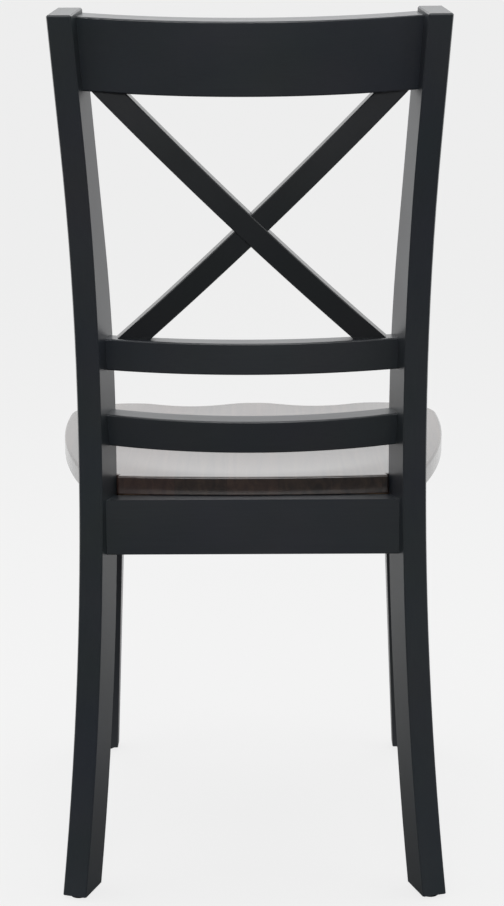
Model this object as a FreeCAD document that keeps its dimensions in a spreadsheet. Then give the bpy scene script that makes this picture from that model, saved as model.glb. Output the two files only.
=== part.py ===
import FreeCAD, Part
import math
import os
import Sketcher

# Cross back dining chair, in millimetres.
# +Z is up, the sitter faces -Y, and the origin is on the floor under the middle of the chair.
# Heights are measured from the floor. Depths are measured from the post line, which runs
# through the middle of both rear posts' rear faces at knee height.

DIMENSIONS = [
    # Rear posts: sabre shaped, straight at the knee, swept back above and below it
    ("post_spread", 358.2, "between the middles of the two posts at the knee"),
    ("post_width", 28.0, "post across its rear face"),
    ("post_depth", 44.5, "post from rear face to front face, at the knee and below"),
    ("post_top_depth", 33.0, "post from rear face to front face, above its bends"),
    ("post_turn", 18.5, "degrees that each post is turned to face outwards"),
    ("post_height", 970.0, "top of the post's rear face"),
    ("post_top_rise", 8.0, "top of the post's front face above that of its rear face"),
    ("knee_bottom", 505.0, "where the lower bend starts"),
    ("knee_length", 20.0, "straight between the two bends"),
    ("lower_bend", 1790.0, "radius of the rear face below the knee"),
    ("bend_end", 836.0, "where the upper bend ends and the rear face runs straight"),
    ("upper_bend", 1600.0, "radius of the rear face above the knee"),
    ("post_ease", 1.5, "bevel of the posts' edges"),
    ("rail_ease", 2.0, "rounding of the rails' long edges"),
    # Curved back rails
    ("rail_thickness", 20.0, "all three back rails"),
    ("rail_radius", 540.0, "rear face of the rails, seen from above"),
    ("rail_spacing", 85.0, "between the middles of the two lower rails' ends"),
    ("rail_inset", 21.0, "two lower rails' rear face ahead of the post's rear face"),
    ("crest_inset", 13.5, "crest rail's rear face ahead of the post's rear face"),
    ("crest_height", 78.5, "crest rail from bottom to top"),
    ("crest_drop", 39.5, "middle of the crest rail's ends below the top of the post's rear face"),
    ("crest_tilt", 11.0, "degrees that the crest rail leans back"),
    ("upper_rail_height", 35.5, "upper back rail"),
    ("upper_rail_tilt", 4.5, "degrees that the upper back rail leans back"),
    ("lower_rail_height", 37.0, "lower back rail"),
    ("lower_rail_lift", 55.5, "middle of the lower back rail's ends above the seat"),
    ("lower_rail_tilt", 10.0, "degrees that the lower back rail leans back"),
    ("tenon_length", 18.0, "rail tenon inside the post"),
    ("tenon_thickness", 10.0, "rail tenon"),
    ("tenon_shoulder", 8.0, "shoulder above and below each tenon"),
    ("joint_gap", 0.2, "clearance around tenons, dowels and screws"),
    ("glue_space", 1.0, "empty end of each mortise and dowel hole"),
    # Cross slats between the crest rail and the upper back rail
    ("slat_width", 25.0, "cross slat"),
    ("slat_thickness", 15.0, "cross slat"),
    ("slat_ease", 1.0, "bevel of the slats' long edges"),
    ("slat_radius", 1050.0, "bend of a slat along its length, at mid thickness"),
    ("slat_top_gap", 28.2, "middle of a slat's end from the crest rail's end"),
    ("slat_foot_gap", 30.3, "middle of a slat's end from the upper back rail's end"),
    ("slat_shift", 4.5, "slats' middle ahead of the rails' middle at their ends"),
    ("slat_proud", 1.0, "full slat's rear face behind the lapped slat's"),
    ("slat_dowel_diameter", 6.0, "dowel at each slat end"),
    ("slat_dowel_length", 22.0, "dowel at each slat end"),
    # Seat frame
    ("apron_height", 63.0, "all four aprons"),
    ("apron_top", 443.0, "top of the aprons, under the seat"),
    ("rear_apron_inset", 5.0, "rear apron's rear face ahead of the post line"),
    ("rear_apron_thickness", 24.0, "rear apron"),
    ("side_apron_thickness", 20.0, "side aprons"),
    ("front_apron_thickness", 20.0, "front apron"),
    ("front_apron_setback", 6.0, "front apron's face behind the legs' front face"),
    ("side_apron_end", 196.0, "from the middle to a side apron's centre at the front leg"),
    ("apron_ease", 1.5, "rounding of the aprons' bottom edges"),
    ("dowel_diameter", 8.0, "dowels of the seat frame"),
    ("dowel_length", 40.0, "dowels of the seat frame"),
    ("rear_dowel_inset", 11.0, "rear apron's dowels from its top and bottom edges"),
    ("side_dowel_inset", 22.0, "side aprons' dowels from their top and bottom edges"),
    # Front legs: square at the aprons, tapered on the two inner faces below them
    ("leg_reach", 431.0, "front legs' front face ahead of the post line"),
    ("leg_outside", 212.8, "from the middle to a front leg's outer face"),
    ("leg_square", 45.0, "front leg at the aprons"),
    ("leg_foot_width", 29.0, "front leg's foot, side to side"),
    ("leg_foot_depth", 28.0, "front leg's foot, front to back"),
    ("leg_ease", 2.0, "rounding of the front legs' upright edges"),
    # Corner blocks and their fasteners
    ("block_thickness", 24.0, "corner block across the corner"),
    ("block_height", 40.0, "corner block, flush with the aprons' top"),
    ("leg_flat", 6.0, "depth of the flat on a front leg's inner corner"),
    ("block_clearance", 1.0, "rear corner block from the post's corner"),
    ("bolt_diameter", 8.0, "hanger bolt"),
    ("bolt_in_leg", 30.0, "hanger bolt inside the front leg"),
    ("bolt_tail", 15.0, "hanger bolt past the corner block"),
    ("washer_diameter", 20.0, "washer on the hanger bolt"),
    ("washer_thickness", 1.6, "washer on the hanger bolt"),
    ("nut_width", 13.0, "nut across its flats"),
    ("nut_height", 6.5, "nut on the hanger bolt"),
    ("screw_diameter", 4.0, "screws of the seat frame and seat"),
    ("screw_head_diameter", 8.0, "screw heads"),
    ("screw_head_height", 2.6, "screw heads"),
    ("block_screw_length", 34.0, "screw from a corner block into an apron"),
    ("block_screw_offset", 12.0, "screw head's middle from the apron's inner face"),
    ("block_screw_height", 8.5, "block screws above the corner block's underside"),
    ("seat_screw_length", 50.0, "screw up through a corner block into the seat"),
    ("seat_screw_offset", 15.0, "seat screw from the middle of a front corner block"),
    # Seat panel
    ("seat_overhang", 56.0, "seat's widest place outside the posts' front faces"),
    ("seat_front", 451.0, "seat's front edge ahead of the post line"),
    ("seat_thickness", 21.5, "seat panel before it is scooped"),
    ("seat_notch", 6.0, "how far the seat's rear edge reaches back between the posts"),
    ("seat_back_radius", 1400.0, "bow of the seat's rear edge"),
    ("seat_post_gap", 1.5, "seat's rear edge from the posts"),
    ("seat_side_radius", 1010.0, "bow of the seat's sides"),
    ("seat_widest", 345.0, "widest place ahead of the post line"),
    ("seat_front_corner", 70.0, "radius of the seat's front corners"),
    ("seat_top_round", 2.5, "rounding of the seat's upper edge"),
    ("seat_bottom_round", 1.5, "rounding of the seat's lower edge"),
    ("scoop_depth", 7.0, "depth of the hollow for the sitter"),
    ("scoop_width", 350.0, "hollow, side to side"),
    ("scoop_length", 300.0, "hollow, front to back"),
    ("scoop_middle", 185.0, "middle of the hollow ahead of the post line"),
    ("thigh_depth", 4.5, "depth of each thigh hollow"),
    ("thigh_width", 120.0, "thigh hollow, side to side"),
    ("thigh_length", 330.0, "thigh hollow, front to back"),
    ("thigh_reach", 80.0, "from the middle to a thigh hollow's middle"),
    ("thigh_middle", 410.0, "middle of the thigh hollows ahead of the post line"),
    ("scoop_bowl", 100.0, "upright half axis of the hollows' ellipsoids"),
    # Glides under the feet
    ("glide_height", 4.0, "glide below the leg"),
    ("glide_inset", 14.0, "rear glide's middle ahead of the post's rear face"),
    ("glide_diameter", 18.0, "glide"),
    ("glide_recess", 1.2, "nail head above the floor"),
    ("nail_diameter", 2.2, "glide's nail"),
    ("nail_head_diameter", 7.0, "glide's nail"),
    ("nail_head_height", 1.2, "glide's nail"),
    ("nail_length", 18.0, "glide's nail above its head"),
]

VALUES = {alias: value for alias, value, note in DIMENSIONS}

doc = FreeCAD.newDocument("CrossBackChair")
sheet = doc.addObject("Spreadsheet::Sheet", "Sizes")
for row, (alias, value, note) in enumerate(DIMENSIONS, start=1):
    sheet.set("A%d" % row, note)
    sheet.set("B%d" % row, str(value))
    sheet.setAlias("B%d" % row, alias)
doc.recompute()


class Size:
    """A number together with the sheet expression that gives it."""

    def __init__(self, value, text):
        self.value = float(value)
        self.text = text

    def __add__(self, other):
        other = sized(other)
        return Size(self.value + other.value, "(%s + %s)" % (self.text, other.text))

    def __sub__(self, other):
        other = sized(other)
        return Size(self.value - other.value, "(%s - %s)" % (self.text, other.text))

    def __mul__(self, other):
        other = sized(other)
        return Size(self.value * other.value, "(%s * %s)" % (self.text, other.text))

    def __truediv__(self, other):
        other = sized(other)
        return Size(self.value / other.value, "(%s / %s)" % (self.text, other.text))

    def __radd__(self, other):
        return sized(other) + self

    def __rsub__(self, other):
        return sized(other) - self

    def __rmul__(self, other):
        return sized(other) * self

    def __rtruediv__(self, other):
        return sized(other) / self

    def __neg__(self):
        return Size(0.0, "0") - self


def sized(item):
    return item if isinstance(item, Size) else Size(item, "%.6f" % item)


def root(item):
    return Size(math.sqrt(item.value), "sqrt(%s)" % item.text)


def sine(angle):
    return Size(math.sin(math.radians(angle.value)), "sin(%s)" % angle.text)


def cosine(angle):
    return Size(math.cos(math.radians(angle.value)), "cos(%s)" % angle.text)


def tangent(angle):
    return sine(angle) / cosine(angle)


class Sheet:
    """Gives every cell of the sheet as a Size, by its alias."""

    def __getattr__(self, alias):
        return Size(VALUES[alias], "Sizes." + alias)


size = Sheet()
SIDES = (("left", 1), ("right", -1))
UP = FreeCAD.Vector(0, 0, 1)


# Making sketches, bodies and primitives

def new_body(name):
    return doc.addObject("PartDesign::Body", name)


def new_sketch(body, role, offset=None):
    """A sketch on one of the body's origin planes, raised by an offset along its normal."""
    plane = [item for item in body.Origin.OriginFeatures if item.Role == role][0]
    sketch = body.newObject("Sketcher::SketchObject", body.Name + "Sketch")
    sketch.AttachmentSupport = [(plane, "")]
    sketch.MapMode = "FlatFace"
    if offset is not None:
        sketch.AttachmentOffset = FreeCAD.Placement(FreeCAD.Vector(0, 0, offset.value), FreeCAD.Rotation())
        sketch.setExpression("AttachmentOffset.Base.z", offset.text)
    return sketch


def arc_between(start, end, radius, side):
    """The short arc between two points, its centre on the left (1) or right (-1) of the way."""
    chord = end - start
    rise = math.sqrt(radius ** 2 - chord.Length ** 2 / 4)
    normal = FreeCAD.Vector(-chord.y, chord.x, 0).normalize()
    centre = (start + end) / 2 + normal * rise * side
    first, last = (start, end) if side > 0 else (end, start)
    circle = Part.Circle(centre, UP, radius)
    return Part.ArcOfCircle(circle, circle.parameter(first), circle.parameter(last))


def draw_outline(sketch, corners):
    """Closes an outline through corners (x, y) or (x, y, radius, side).

    A corner with a radius is followed by an arc, any other by a straight line. Each corner's
    place and each radius are constraints bound to the sheet.
    """
    points = [FreeCAD.Vector(sized(corner[0]).value, sized(corner[1]).value, 0) for corner in corners]
    count = len(corners)
    starts = []
    for index, corner in enumerate(corners):
        start = points[index]
        end = points[(index + 1) % count]
        if len(corner) == 2:
            sketch.addGeometry(Part.LineSegment(start, end), False)
            starts.append((1, 2))
            continue
        radius, side = corner[2], corner[3]
        sketch.addGeometry(arc_between(start, end, sized(radius).value, side), False)
        starts.append((1, 2) if side > 0 else (2, 1))
    for index, corner in enumerate(corners):
        before = (index - 1) % count
        tie = Sketcher.Constraint("Coincident", before, starts[before][1], index, starts[index][0])
        sketch.addConstraint(tie)
        for kind, item in (("DistanceX", corner[0]), ("DistanceY", corner[1])):
            bind_constraint(sketch, (kind, -1, 1, index, starts[index][0]), item)
        if len(corner) > 2:
            bind_constraint(sketch, ("Radius", index), corner[2])


def bind_constraint(sketch, parts, item):
    item = sized(item)
    number = sketch.addConstraint(Sketcher.Constraint(*parts, item.value))
    sketch.setExpression("Constraints[%d]" % number, item.text)


def bind(item, **lengths):
    for name, length in lengths.items():
        length = sized(length)
        setattr(item, name, length.value)
        item.setExpression(name, length.text)


def new_pad(body, sketch, length):
    pad = body.newObject("PartDesign::Pad", body.Name + "Pad")
    pad.Profile = sketch
    bind(pad, Length=length)
    doc.recompute()
    return pad


def edges_where(base, wanted):
    return (base, ["Edge%d" % (number + 1) for number, edge in enumerate(base.Shape.Edges) if wanted(edge)])


def round_edges(body, base, radius, wanted):
    """Rounds the edges of a feature for which wanted(edge) is true."""
    fillet = body.newObject("PartDesign::Fillet", body.Name + "Fillet")
    fillet.Base = edges_where(base, wanted)
    bind(fillet, Radius=radius)
    doc.recompute()
    return fillet


def bevel_edges(body, base, width, wanted):
    """Bevels the edges of a feature for which wanted(edge) is true."""
    chamfer = body.newObject("PartDesign::Chamfer", body.Name + "Chamfer")
    chamfer.Base = edges_where(base, wanted)
    bind(chamfer, Size=width)
    doc.recompute()
    return chamfer


def new_box(name, length, width, height, placement):
    """A box centred on a placement."""
    box = doc.addObject("Part::Box", name)
    bind(box, Length=length, Width=width, Height=height)
    shift = FreeCAD.Vector(box.Length.Value, box.Width.Value, box.Height.Value) * -0.5
    box.Placement = placement * FreeCAD.Placement(shift, FreeCAD.Rotation())
    return box


def new_cylinder(name, diameter, length, start, direction):
    cylinder = doc.addObject("Part::Cylinder", name)
    bind(cylinder, Radius=sized(diameter) / 2, Height=length)
    cylinder.Placement = FreeCAD.Placement(start, FreeCAD.Rotation(UP, direction))
    return cylinder


def join(kind, name, shapes):
    """A fuse or a compound of several objects."""
    result = doc.addObject(kind, name)
    if kind == "Part::Compound":
        result.Links = shapes
    else:
        result.Shapes = shapes
    return result


def cut(name, base, tools):
    """A base with every tool taken away. The volume has to fall."""
    tool = tools[0] if len(tools) == 1 else join("Part::MultiFuse", name + "Tools", tools)
    result = doc.addObject("Part::Cut", name)
    result.Base = base
    result.Tool = tool
    doc.recompute()
    if result.Shape.Volume >= base.Shape.Volume:
        raise RuntimeError(name + " was not cut")
    return result


# Frames of the posts and places derived from the driving dimensions

def sweep(height):
    """How far the post's rear face has swept back from its knee at a height."""
    if height.value > size.bend_end.value:
        return sweep(size.bend_end) + (height - size.bend_end) * top_slope
    if height.value > knee_top.value:
        rise = height - knee_top
        return size.upper_bend - root(size.upper_bend * size.upper_bend - rise * rise)
    if height.value < size.knee_bottom.value:
        drop = size.knee_bottom - height
        return size.lower_bend - root(size.lower_bend * size.lower_bend - drop * drop)
    return Size(0.0, "0")


knee_top = size.knee_bottom + size.knee_length
turn_sine = sine(size.post_turn)
turn_cosine = cosine(size.post_turn)
top_rise = size.bend_end - knee_top
top_slope = top_rise / root(size.upper_bend * size.upper_bend - top_rise * top_rise)
foot_reach = sweep(size.glide_height) * turn_cosine + size.post_width / 2 * turn_sine
post_line = (size.seat_front - foot_reach) / 2
apron_bottom = size.apron_top - size.apron_height
block_bottom = size.apron_top - size.block_height


def post_frame(side):
    """The post's own frame at the floor: X to its rear, Z up."""
    base = FreeCAD.Vector(side * size.post_spread.value / 2, post_line.value, 0)
    return FreeCAD.Placement(base, FreeCAD.Rotation(UP, 90 - side * size.post_turn.value))


def post_face_point(depth):
    """X and Y on the left post's inner face, a depth behind the knee's rear face."""
    across = size.post_spread / 2 - size.post_width / 2 * turn_cosine + depth * turn_sine
    along = post_line + size.post_width / 2 * turn_sine + depth * turn_cosine
    return across, along


def post_face_across(along):
    """X on the left post's inner face at a given Y."""
    depth = (along - post_line - size.post_width / 2 * turn_sine) / turn_cosine
    return post_face_point(depth)[0]


# Rear posts

def make_post_blank(label, side):
    """The sabre shaped post before its mortises are cut."""
    body = new_body(label + "_blank")
    sketch = new_sketch(body, "XZ_Plane")
    top_back = sweep(size.post_height)
    square = root(top_slope * top_slope + 1)
    top_front = top_back + size.post_top_rise * top_slope - size.post_top_depth * square
    front_bend = size.upper_bend + (size.post_top_depth - size.post_depth / square) / (1 - 1 / square)
    front_end = knee_top + front_bend * top_slope / square
    front_sweep = front_bend * (1 - 1 / square) - size.post_depth
    drop = size.knee_bottom - size.glide_height
    outer = size.lower_bend + size.post_depth
    foot_front = size.lower_bend - root(outer * outer - drop * drop)
    draw_outline(sketch, [
        (sweep(size.glide_height), size.glide_height, size.lower_bend, -1),
        (0, size.knee_bottom),
        (0, knee_top, size.upper_bend, -1),
        (sweep(size.bend_end), size.bend_end),
        (top_back, size.post_height),
        (top_front, size.post_height + size.post_top_rise),
        (front_sweep, front_end, front_bend, 1),
        (-size.post_depth, knee_top),
        (-size.post_depth, size.knee_bottom, outer, 1),
        (foot_front, size.glide_height),
    ])
    pad = new_pad(body, sketch, size.post_width)
    bevel_edges(body, pad, size.post_ease, lambda edge: edge.BoundBox.ZMax > size.glide_height.value + 1)
    middle = FreeCAD.Placement(FreeCAD.Vector(0, size.post_width.value / 2, 0), FreeCAD.Rotation())
    body.Placement = post_frame(side) * middle
    return body


# Back rails

seat_top = size.apron_top + size.seat_thickness
lower_rail_middle = seat_top + size.lower_rail_lift
upper_rail_middle = lower_rail_middle + size.rail_spacing
crest_middle = size.post_height - size.crest_drop
RAILS = (
    ("crest_rail", size.crest_height, crest_middle, size.crest_tilt, size.crest_inset),
    ("upper_back_rail", size.upper_rail_height, upper_rail_middle, size.upper_rail_tilt, size.rail_inset),
    ("lower_back_rail", size.lower_rail_height, lower_rail_middle, size.lower_rail_tilt, size.rail_inset),
)
TENON_ROOT = 5.0


def rail_end(middle, inset):
    """X and Y where the rail's rear face meets the left post's inner face."""
    return post_face_point(sweep(middle) - inset)


def rail_sag(across):
    """How far the rail's rear face lies ahead of its middle at an X."""
    return size.rail_radius - root(size.rail_radius * size.rail_radius - across * across)


def rail_frame(middle, tilt, inset):
    """The rail's frame: its origin at the middle of its rear face, Y to the rear."""
    across, along = rail_end(middle, inset)
    sag = rail_sag(across).value
    lean = math.radians(tilt.value)
    base = FreeCAD.Vector(0, along.value + sag * math.cos(lean), middle.value - sag * math.sin(lean))
    return FreeCAD.Placement(base, FreeCAD.Rotation(FreeCAD.Vector(1, 0, 0), -tilt.value))


def tenon_box(name, height, middle, tilt, inset, side, gap, extra):
    """A rail tenon in its post, or its mortise when it has a gap around and extra at the end."""
    depth = sweep(middle).value - inset.value - size.rail_thickness.value / 2
    length = size.tenon_length + extra + TENON_ROOT
    centre = side * (size.post_width.value / 2 + (TENON_ROOT - size.tenon_length.value - extra.value) / 2)
    lean = math.degrees(math.atan(math.tan(math.radians(tilt.value)) * turn_cosine.value))
    place = post_frame(side) * FreeCAD.Placement(
        FreeCAD.Vector(depth, centre, middle.value), FreeCAD.Rotation(FreeCAD.Vector(0, 1, 0), lean))
    return new_box(name, size.tenon_thickness + gap * 2, length,
                   height - size.tenon_shoulder * 2 + gap * 2, place)


def make_rail(label, height, middle, tilt, inset, beyond_posts):
    """A rail bent to the back's radius, shouldered at the posts, with a tenon at each end."""
    across, along = rail_end(middle, inset)
    reach = across + size.post_width / 2
    inner = size.rail_radius - size.rail_thickness
    share = inner / size.rail_radius
    inner_sag = size.rail_radius - (size.rail_radius - rail_sag(reach)) * share
    body = new_body(label + "_blank")
    sketch = new_sketch(body, "XY_Plane")
    draw_outline(sketch, [
        (reach, -rail_sag(reach), size.rail_radius, 1),
        (-reach, -rail_sag(reach)),
        (-reach * share, -inner_sag, inner, -1),
        (reach * share, -inner_sag),
    ])
    pad = new_pad(body, sketch, height)
    round_edges(body, pad, size.rail_ease, lambda edge: edge.Length > reach.value)
    drop = FreeCAD.Placement(FreeCAD.Vector(0, 0, -height.value / 2), FreeCAD.Rotation())
    body.Placement = rail_frame(middle, tilt, inset) * drop
    shouldered = cut(label + "_shouldered", body, beyond_posts)
    tenons = [tenon_box("%s_tenon_%s" % (label, word), height, middle, tilt, inset, side, sized(0), sized(0))
              for word, side in SIDES]
    return join("Part::MultiFuse", label + "_tenoned", [shouldered] + tenons)


# Cross slats

slat_top_reach = rail_end(crest_middle, size.crest_inset)[0] - size.slat_top_gap
slat_foot_reach = rail_end(upper_rail_middle, size.rail_inset)[0] - size.slat_foot_gap


def slat_plane():
    """The plane in which both slats lie where they cross, and their angle in it.

    The slats' centre lines are arcs that touch this plane at the crossing. They end under the
    crest rail and on top of the upper back rail.
    """
    ends = []
    for reach, (label, height, middle, tilt, inset), way in (
            (slat_top_reach.value, RAILS[0], -1), (slat_foot_reach.value, RAILS[1], 1)):
        inside = math.sqrt(size.rail_radius.value ** 2 - reach ** 2) - size.rail_radius.value
        ahead = size.rail_thickness.value / 2 + size.slat_shift.value
        local = FreeCAD.Vector(0, inside - ahead, way * height.value / 2)
        ends.append(rail_frame(middle, tilt, inset).multVec(local))
    top, foot = ends
    span = slat_top_reach.value + slat_foot_reach.value
    rise = math.hypot(top.y - foot.y, top.z - foot.z)
    angle = math.atan2(rise, span)
    sags = [(reach.value / math.cos(angle)) ** 2 / 2 / size.slat_radius.value
            for reach in (slat_top_reach, slat_foot_reach)]
    lean = math.atan2(top.y - foot.y, top.z - foot.z) + math.asin((sags[0] - sags[1]) / rise)
    climb = slat_top_reach.value * math.tan(angle)
    middle = FreeCAD.Vector(
        0,
        top.y - climb * math.sin(lean) + sags[0] * math.cos(lean),
        top.z - climb * math.cos(lean) - sags[0] * math.sin(lean))
    rotation = FreeCAD.Rotation(FreeCAD.Vector(1, 0, 0), -math.degrees(lean))
    return FreeCAD.Placement(middle, rotation), math.degrees(angle)


def make_slat(label, way, rear_shift, notch_front, beyond_rails):
    """A slat bent along its length, half lapped at the crossing.

    way is 1 for the slat that climbs to the left and -1 for the one that climbs to the right.
    """
    plane, angle = slat_plane()
    half = slat_top_reach + slat_foot_reach
    outer = size.slat_radius + size.slat_thickness / 2
    inner = size.slat_radius - size.slat_thickness / 2
    sag = outer - root(outer * outer - half * half)
    share = inner / outer
    inner_sag = outer - (outer - sag) * share
    body = new_body(label + "_blank")
    sketch = new_sketch(body, "XY_Plane")
    draw_outline(sketch, [
        (half, -sag, outer, 1),
        (-half, -sag),
        (-half * share, -inner_sag, inner, -1),
        (half * share, -inner_sag),
    ])
    pad = new_pad(body, sketch, size.slat_width)
    bevel_edges(body, pad, size.slat_ease, lambda edge: edge.Length > half.value)
    turn = FreeCAD.Rotation(FreeCAD.Vector(0, 1, 0), -way * angle)
    frame = plane * FreeCAD.Placement(FreeCAD.Vector(0, 0, 0), turn)
    body.Placement = frame * FreeCAD.Placement(
        FreeCAD.Vector(0, size.slat_thickness.value / 2 + rear_shift.value, -size.slat_width.value / 2),
        FreeCAD.Rotation())
    other = plane * FreeCAD.Placement(FreeCAD.Vector(0, 0, 0), turn.inverted())
    reach = size.slat_thickness.value
    notch = new_box(label + "_notch", size.slat_width * 3, reach, size.slat_width + size.joint_gap * 2,
                    other * FreeCAD.Placement(
                        FreeCAD.Vector(0, -reach / 2 if notch_front else reach / 2, 0), FreeCAD.Rotation()))
    return cut(label + "_lapped", body, beyond_rails + [notch])


def slat_dowel_places():
    """The start and direction of the dowel at each slat end, its middle on the rail's face."""
    places = []
    for reach, (label, height, middle, tilt, inset), way in (
            (slat_top_reach.value, RAILS[0], -1), (slat_foot_reach.value, RAILS[1], 1)):
        frame = rail_frame(middle, tilt, inset)
        inside = math.sqrt(size.rail_radius.value ** 2 - reach ** 2) - size.rail_radius.value
        direction = frame.Rotation.multVec(FreeCAD.Vector(0, 0, -way))
        for side in (1, -1):
            ahead = size.rail_thickness.value / 2 + size.slat_shift.value / 2
            face = FreeCAD.Vector(side * reach, inside - ahead, way * height.value / 2)
            places.append((frame.multVec(face), direction))
    return places


def make_slat_dowels(name, gap, extra):
    """The dowels at the slat ends, or their holes."""
    in_slat = size.slat_dowel_length * 0.45
    dowels = []
    for number, (middle, direction) in enumerate(slat_dowel_places()):
        start = middle - direction * (in_slat.value * -1 + size.slat_dowel_length.value + extra.value)
        dowels.append(new_cylinder("%s_%d" % (name, number), size.slat_dowel_diameter + gap * 2,
                                   size.slat_dowel_length + extra * 2, start, direction))
    return dowels


# Seat frame, in plan

def side_apron_line(offset):
    """The ends of a side apron's long edge in plan, at an offset from its centre line.

    The first end lies on the left post's front face at the knee and the second on the front
    leg's rear face. The last two values are the edge's direction.
    """
    start_x = size.post_spread / 2 - size.post_depth * turn_sine
    start_y = post_line - size.post_depth * turn_cosine
    run_x = size.side_apron_end - start_x
    run_y = start_y - leg_rear
    length = root(run_x * run_x + run_y * run_y)
    ahead_x = run_x / length
    ahead_y = -run_y / length
    across_x = -ahead_y
    across_y = ahead_x
    skew = (across_x * turn_sine + across_y * turn_cosine) / (ahead_x * turn_sine + ahead_y * turn_cosine)
    rear_x = start_x + (across_x - ahead_x * skew) * offset
    rear_y = start_y + (across_y - ahead_y * skew) * offset
    front_y = leg_rear
    front_x = rear_x + (front_y - rear_y) * ahead_x / ahead_y
    return (rear_x, rear_y), (front_x, front_y), (ahead_x, ahead_y)


leg_front = post_line - size.leg_reach
leg_rear = leg_front + size.leg_square
leg_inside = size.leg_outside - size.leg_square
rear_apron_back = post_line - size.rear_apron_inset
rear_apron_face = rear_apron_back - size.rear_apron_thickness
front_apron_front = leg_front + size.front_apron_setback
front_apron_face = front_apron_front + size.front_apron_thickness


def make_plan_body(label, corners, bottom, height, ease=None):
    """An upright prism on a plan outline, with its bottom edges eased."""
    body = new_body(label + "_blank")
    sketch = new_sketch(body, "XY_Plane", bottom)
    draw_outline(sketch, corners)
    pad = new_pad(body, sketch, height)
    if ease is not None:
        longest = max(edge.Length for edge in pad.Shape.Edges)
        round_edges(body, pad, ease, lambda edge: edge.BoundBox.ZMax < bottom.value + 0.01
                    and edge.Length > longest / 2)
    return body


def make_rear_apron():
    return make_plan_body("rear_apron", [
        (post_face_across(rear_apron_back), rear_apron_back),
        (-post_face_across(rear_apron_back), rear_apron_back),
        (-post_face_across(rear_apron_face), rear_apron_face),
        (post_face_across(rear_apron_face), rear_apron_face),
    ], apron_bottom, size.apron_height, size.apron_ease)


def make_front_apron():
    return make_plan_body("front_apron", [
        (leg_inside, front_apron_face),
        (-leg_inside, front_apron_face),
        (-leg_inside, front_apron_front),
        (leg_inside, front_apron_front),
    ], apron_bottom, size.apron_height, size.apron_ease)


def make_side_apron(label, side):
    """A side apron whose rear end still runs into the post. It is cut to the post later."""
    outer_rear, outer_front, ahead = side_apron_line(size.side_apron_thickness / 2)
    inner_rear, inner_front, ahead = side_apron_line(-size.side_apron_thickness / 2)
    spare = size.post_width / 5
    corners = [
        (outer_rear[0] - ahead[0] * spare, outer_rear[1] - ahead[1] * spare),
        outer_front,
        inner_front,
        (inner_rear[0] - ahead[0] * spare, inner_rear[1] - ahead[1] * spare),
    ]
    corners = [(corner[0] * side, corner[1]) for corner in corners]
    return make_plan_body(label, corners, apron_bottom, size.apron_height, size.apron_ease)


def make_front_leg(label, side):
    """Square at the aprons, tapered on its inner and rear faces down to the foot."""
    def square(width, depth):
        return [
            (size.leg_outside * side, leg_front),
            (size.leg_outside * side, leg_front + depth),
            ((size.leg_outside - width) * side, leg_front + depth),
            ((size.leg_outside - width) * side, leg_front),
        ]
    body = new_body(label + "_blank")
    foot = new_sketch(body, "XY_Plane", size.glide_height)
    draw_outline(foot, square(size.leg_foot_width, size.leg_foot_depth))
    shoulder = new_sketch(body, "XY_Plane", apron_bottom)
    draw_outline(shoulder, square(size.leg_square, size.leg_square))
    doc.recompute()
    taper = body.newObject("PartDesign::AdditiveLoft", body.Name + "Taper")
    taper.Profile = foot
    taper.Sections = [shoulder]
    taper.Ruled = True
    doc.recompute()
    pad = new_pad(body, shoulder, size.apron_height)
    round_edges(body, pad, size.leg_ease, lambda edge: edge.BoundBox.ZLength > size.apron_height.value / 2)
    return body


# Corner blocks: planks set across the corners of the seat frame

def block_corners(front):
    """Plan corners of a left corner block: outer face first, then the face with the screws.

    The outer face of a front block lies on the flat of the leg's corner, and that of a rear
    block just clear of the post's corner. Both faces run at 45 degrees between two aprons.
    """
    half_turn = root(sized(2))
    apron_face = front_apron_face if front else rear_apron_face
    way = -1 if front else 1
    if front:
        outer = leg_inside - leg_rear + size.leg_flat * half_turn
    else:
        corner_x, corner_y = post_face_point(-size.post_depth)
        outer = corner_x + corner_y - size.block_clearance * half_turn
    inner = outer - size.block_thickness * half_turn
    inner_rear, inner_front, ahead = side_apron_line(-size.side_apron_thickness / 2)
    corners = []
    for level in (outer, inner):
        on_apron = level - apron_face * way
        travel = (level - inner_rear[0] - inner_rear[1] * way) / (ahead[0] + ahead[1] * way)
        on_side = (inner_rear[0] + ahead[0] * travel, inner_rear[1] + ahead[1] * travel)
        corners.append(((on_apron, apron_face), on_side))
    return corners


def make_block(label, side, front):
    (outer_apron, outer_side), (inner_apron, inner_side) = block_corners(front)
    corners = [outer_apron, inner_apron, inner_side, outer_side]
    corners = [(corner[0] * side, corner[1]) for corner in corners]
    return make_plan_body(label, corners, block_bottom, size.block_height)


def block_frame(side, front):
    """The middle of a block's screw face at half its height, the way out and the way along it."""
    (outer_apron, outer_side), (inner_apron, inner_side) = block_corners(front)
    start = FreeCAD.Vector(inner_apron[0].value * side, inner_apron[1].value, 0)
    end = FreeCAD.Vector(inner_side[0].value * side, inner_side[1].value, 0)
    along = (end - start).normalize()
    out = FreeCAD.Vector(side, -1 if front else 1, 0).normalize()
    height = FreeCAD.Vector(0, 0, size.apron_top.value - size.block_height.value / 2)
    return (start + end) / 2 + height, out, along, (end - start).Length


def bolt_point(side):
    """Where a hanger bolt's axis passes the face of its corner block."""
    middle, out, along, length = block_frame(side, True)
    corner = FreeCAD.Vector(side * leg_inside.value, leg_rear.value, middle.z)
    return corner - out * (size.block_thickness.value - size.leg_flat.value), out


def screw_points(side, front):
    """Heads of the two screws that hold a corner block to its aprons."""
    middle, out, along, length = block_frame(side, front)
    middle.z = block_bottom.value + size.block_screw_height.value
    step = size.block_screw_offset.value * math.sqrt(2)
    return [(middle + along * (length / 2 - step) * way, out) for way in (-1, 1)]


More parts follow.
